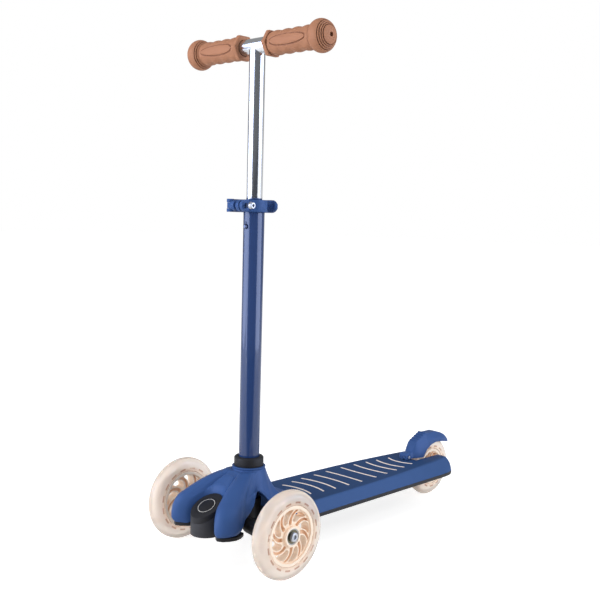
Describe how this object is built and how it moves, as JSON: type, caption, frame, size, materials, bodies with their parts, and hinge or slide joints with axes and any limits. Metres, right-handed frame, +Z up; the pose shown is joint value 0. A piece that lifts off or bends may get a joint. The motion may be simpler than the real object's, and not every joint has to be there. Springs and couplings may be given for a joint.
{
  "type": "three wheel kids scooter",
  "caption": "Kids kick scooter with lean-to-steer front wheels, a deck with grip strips, a foot brake over the rear wheel, and a T handlebar that slides in a clamped stem.",
  "frame": {"origin": "middle of the bounding box on the ground", "axes": "+Z up; the rider faces -Y, so the front wheels are towards -Y and the brake is towards +Y; +X is the rider's left"},
  "size_m": [0.2726, 0.5823, 0.7318],
  "materials": {
    "blue_plastic": "satin moulded",
    "blue_paint": "gloss",
    "black_plastic": "satin moulded",
    "cream_plastic": "satin moulded",
    "cream_strip": "satin",
    "clear_tyre": "translucent cast urethane",
    "brown_rubber": "matt",
    "dark_rubber": "matt",
    "bright_aluminium": "polished",
    "zinc_steel": "zinc plated"
  },
  "bodies": {
    "chassis": {"rear_axle_bolt": "zinc_steel", "rear_axle_nut": "zinc_steel", "rear_spacer": "zinc_steel", "rear_sleeve_left": "zinc_steel", "rear_sleeve_right": "zinc_steel", "deck_shell": "blue_plastic", "deck_base": "black_plastic", "deck_stripe_1": "cream_strip", "deck_stripe_2": "cream_strip", "deck_stripe_3": "cream_strip", "deck_stripe_4": "cream_strip", "deck_stripe_5": "cream_strip", "deck_stripe_6": "cream_strip", "deck_stripe_7": "cream_strip", "deck_stripe_8": "cream_strip", "deck_stripe_9": "cream_strip", "deck_stripe_10": "cream_strip", "front_cover": "blue_plastic", "drum_cap": "black_plastic", "badge_disc": "black_plastic", "drum_housing": "black_plastic", "kingpin_bolt": "zinc_steel", "kingpin_nut": "zinc_steel", "upper_bushing": "dark_rubber", "lower_bushing": "dark_rubber", "front_base": "black_plastic", "lower_tube": "blue_paint", "tube_sleeve": "black_plastic", "stem_collar": "black_plastic", "clamp_band": "blue_plastic", "clamp_bolt": "zinc_steel", "clamp_cam": "blue_plastic", "brake_pin": "zinc_steel", "brake_spring": "zinc_steel"},
    "truck": {"truck_beam": "black_plastic", "front_left_axle_bolt": "zinc_steel", "front_left_spacer": "zinc_steel", "front_right_axle_bolt": "zinc_steel", "front_right_spacer": "zinc_steel"},
    "front_left_wheel": {"front_left_tyre": "clear_tyre", "front_left_hub": "cream_plastic", "front_left_bearing_outer": "zinc_steel", "front_left_bearing_inner": "zinc_steel"},
    "front_right_wheel": {"front_right_tyre": "clear_tyre", "front_right_hub": "cream_plastic", "front_right_bearing_outer": "zinc_steel", "front_right_bearing_inner": "zinc_steel"},
    "rear_wheel": {"rear_tyre": "clear_tyre", "rear_hub": "cream_plastic", "rear_bearing_outer": "zinc_steel", "rear_bearing_inner": "zinc_steel"},
    "handlebar": {"t_bar": "bright_aluminium", "left_grip": "brown_rubber", "right_grip": "brown_rubber"},
    "clamp_lever": {"clamp_lever": "blue_plastic", "lever_pin": "zinc_steel"},
    "lock_button": {"lock_button": "zinc_steel"},
    "brake": {"brake_fender": "blue_plastic"}
  },
  "joints": [
    {"name": "steer_lean", "type": "hinge", "parent": "chassis", "child": "truck", "pos_m": [0, -0.2735, 0.083], "axis": [0, -0.5, 0.866], "range_deg": [-10, 10], "stiffness_Nm_per_rad": 110},
    {"name": "front_left_spin", "type": "hinge", "parent": "truck", "child": "front_left_wheel", "pos_m": [0.1091, -0.2265, 0.06], "axis": [1, 0, 0], "continuous": true},
    {"name": "front_right_spin", "type": "hinge", "parent": "truck", "child": "front_right_wheel", "pos_m": [-0.1091, -0.2265, 0.06], "axis": [1, 0, 0], "continuous": true},
    {"name": "rear_spin", "type": "hinge", "parent": "chassis", "child": "rear_wheel", "pos_m": [0, 0.2345, 0.05], "axis": [1, 0, 0], "continuous": true},
    {"name": "bar_height", "type": "slide", "parent": "chassis", "child": "handlebar", "axis": [0, 0, -1], "range_m": [0, 0.13]},
    {"name": "lever_swing", "type": "hinge", "parent": "chassis", "child": "clamp_lever", "pos_m": [-0.025, -0.218, 0.4927], "axis": [0, 0, 1], "range_deg": [0, 100]},
    {"name": "button_press", "type": "slide", "parent": "chassis", "child": "lock_button", "axis": [0, 1, 0], "range_m": [0, 0.0025], "stiffness_N_per_m": 400, "springref_m": -0.002},
    {"name": "brake_press", "type": "hinge", "parent": "chassis", "child": "brake", "pos_m": [0, 0.1695, 0.076], "axis": [1, 0, 0], "range_deg": [-3.2, 0], "stiffness_Nm_per_rad": 3, "springref_deg": 5.73}
  ]
}
